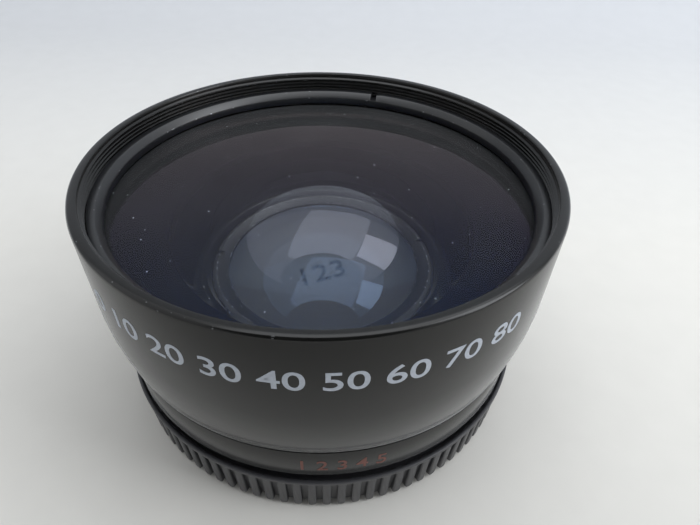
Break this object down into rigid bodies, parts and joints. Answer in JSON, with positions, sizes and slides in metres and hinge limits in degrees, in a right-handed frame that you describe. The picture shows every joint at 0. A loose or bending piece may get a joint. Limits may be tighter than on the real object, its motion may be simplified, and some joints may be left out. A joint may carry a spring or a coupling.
{
  "type": "wide-angle conversion lens",
  "caption": "Screw-on wide-angle conversion lens with a flared front barrel over a shallow macro ring, standing on a ribbed screw-on rear cap.",
  "frame": {"origin": "centre of the rear cap's underside, on the surface that the lens stands on", "axes": "+Z along the lens's axis, from the rear cap towards the front glass"},
  "size_m": [0.07, 0.07, 0.0388],
  "materials": {
    "anodised_barrel": "satin black anodised, turned",
    "blackened_ring": "black anodised, turned",
    "coated_glass": "polished, anti-reflection coated",
    "cap_plastic": "moulded, slightly glossy black-grey"
  },
  "bodies": {
    "cap_unit": {"rear_cap": "cap_plastic"},
    "macro_unit": {"macro_ring": "anodised_barrel", "macro_glass": "coated_glass", "macro_retaining_ring": "blackened_ring"},
    "front_unit": {"front_barrel": "anodised_barrel", "front_glass": "coated_glass", "front_retaining_ring": "blackened_ring"}
  },
  "joints": [
    {"name": "cap_unscrew", "type": "slide", "parent": "cap_unit", "child": "macro_unit", "axis": [0, 0, 1], "range_m": [0, 0.012]},
    {"name": "macro_unscrew", "type": "slide", "parent": "macro_unit", "child": "front_unit", "axis": [0, 0, 1], "range_m": [0, 0.014]}
  ]
}
